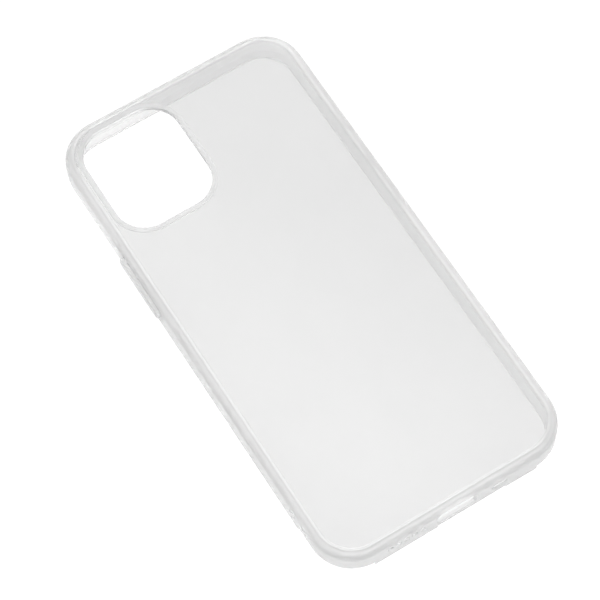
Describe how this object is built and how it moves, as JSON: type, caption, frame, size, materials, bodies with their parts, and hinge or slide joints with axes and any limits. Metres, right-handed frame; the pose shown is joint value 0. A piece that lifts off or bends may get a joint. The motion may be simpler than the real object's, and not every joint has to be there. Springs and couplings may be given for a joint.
{
  "type": "phone case",
  "caption": "Clear protective case for a flat-sided phone: stiff back plate in a soft frame with a front lip, square camera cut-out, port, switch slot and sprung key covers.",
  "frame": {"origin": "centre of the rim plane that the case lies on when it is open side down", "axes": "+X is the width, to the right seen from the back; +Y runs up the length to the camera end; +Z points out of the back"},
  "size_m": [0.0754, 0.1492, 0.0104],
  "materials": {
    "soft_clear": "clear soft moulding, gloss with a faint haze",
    "hard_clear": "clear, slightly hazy, gloss",
    "key_clear": "clear soft moulding, gloss"
  },
  "bodies": {
    "case": {"bumper_frame": "soft_clear", "back_panel": "hard_clear", "camera_ring": "soft_clear"},
    "power_key": {"power_button": "key_clear"},
    "volume_up_key": {"volume_up_button": "key_clear"},
    "volume_down_key": {"volume_down_button": "key_clear"}
  },
  "joints": [
    {"name": "power_press", "type": "slide", "parent": "case", "child": "power_key", "axis": [1, 0, 0], "range_m": [0, 0.0004], "stiffness_N_per_m": 2000},
    {"name": "volume_up_press", "type": "slide", "parent": "case", "child": "volume_up_key", "axis": [-1, 0, 0], "range_m": [0, 0.0004], "stiffness_N_per_m": 2000},
    {"name": "volume_down_press", "type": "slide", "parent": "case", "child": "volume_down_key", "axis": [-1, 0, 0], "range_m": [0, 0.0004], "stiffness_N_per_m": 2000}
  ]
}
